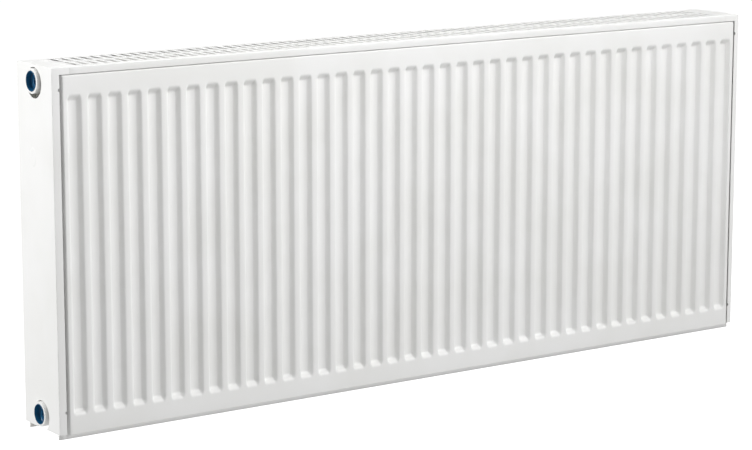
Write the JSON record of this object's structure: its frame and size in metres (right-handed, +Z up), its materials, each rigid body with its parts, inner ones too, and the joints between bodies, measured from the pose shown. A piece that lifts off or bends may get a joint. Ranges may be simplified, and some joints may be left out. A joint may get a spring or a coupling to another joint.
{
  "type": "panel radiator",
  "caption": "Wall-hung pressed-steel double-panel radiator with fluted faces, convectors, slotted top grille, side covers and side ports closed by blue plugs.",
  "frame": {"origin": "on the floor plane under the bottom seams, at the middle of the length and of the whole depth, lugs included", "axes": "+X along the radiator to the right seen from the front, +Y from the front face towards the wall, +Z up"},
  "size_m": [1.2096, 0.11, 0.5],
  "materials": {
    "white_paint": "smooth white powder coat, half gloss",
    "inner_paint": "thin white dip coat",
    "blue_plastic": "moulded blue polyethylene",
    "clip_plastic": "moulded pale nylon"
  },
  "bodies": {
    "radiator_body": {"front_panel_outer_sheet": "white_paint", "front_panel_inner_sheet": "white_paint", "rear_panel_inner_sheet": "white_paint", "rear_panel_outer_sheet": "white_paint", "front_convector": "inner_paint", "rear_convector": "inner_paint", "tee_bottom_left": "white_paint", "tee_top_left": "white_paint", "tee_bottom_right": "white_paint", "tee_top_right": "white_paint", "hanging_lug_bottom_left": "white_paint", "hanging_lug_top_left": "white_paint", "hanging_lug_bottom_right": "white_paint", "hanging_lug_top_right": "white_paint"},
    "grille": {"top_grille": "white_paint", "grille_clip_front_left": "clip_plastic", "grille_clip_front_right": "clip_plastic", "grille_clip_rear_left": "clip_plastic", "grille_clip_rear_right": "clip_plastic"},
    "left_cover": {"side_cover_left": "white_paint"},
    "right_cover": {"side_cover_right": "white_paint"},
    "plug_bottom_left": {"transit_plug_bottom_left": "blue_plastic"},
    "plug_top_left": {"transit_plug_top_left": "blue_plastic"},
    "plug_bottom_right": {"transit_plug_bottom_right": "blue_plastic"},
    "plug_top_right": {"transit_plug_top_right": "blue_plastic"}
  },
  "joints": [
    {"name": "grille_lift_off", "type": "slide", "parent": "radiator_body", "child": "grille", "axis": [0, 0, 1], "range_m": [0, 0.03]},
    {"name": "left_cover_pull_off", "type": "slide", "parent": "radiator_body", "child": "left_cover", "axis": [-1, 0, 0], "range_m": [0, 0.04]},
    {"name": "right_cover_pull_off", "type": "slide", "parent": "radiator_body", "child": "right_cover", "axis": [1, 0, 0], "range_m": [0, 0.04]},
    {"name": "plug_bottom_left_unscrew", "type": "slide", "parent": "radiator_body", "child": "plug_bottom_left", "axis": [-1, 0, 0], "range_m": [0, 0.025]},
    {"name": "plug_top_left_unscrew", "type": "slide", "parent": "radiator_body", "child": "plug_top_left", "axis": [-1, 0, 0], "range_m": [0, 0.025]},
    {"name": "plug_bottom_right_unscrew", "type": "slide", "parent": "radiator_body", "child": "plug_bottom_right", "axis": [1, 0, 0], "range_m": [0, 0.025]},
    {"name": "plug_top_right_unscrew", "type": "slide", "parent": "radiator_body", "child": "plug_top_right", "axis": [1, 0, 0], "range_m": [0, 0.025]}
  ]
}
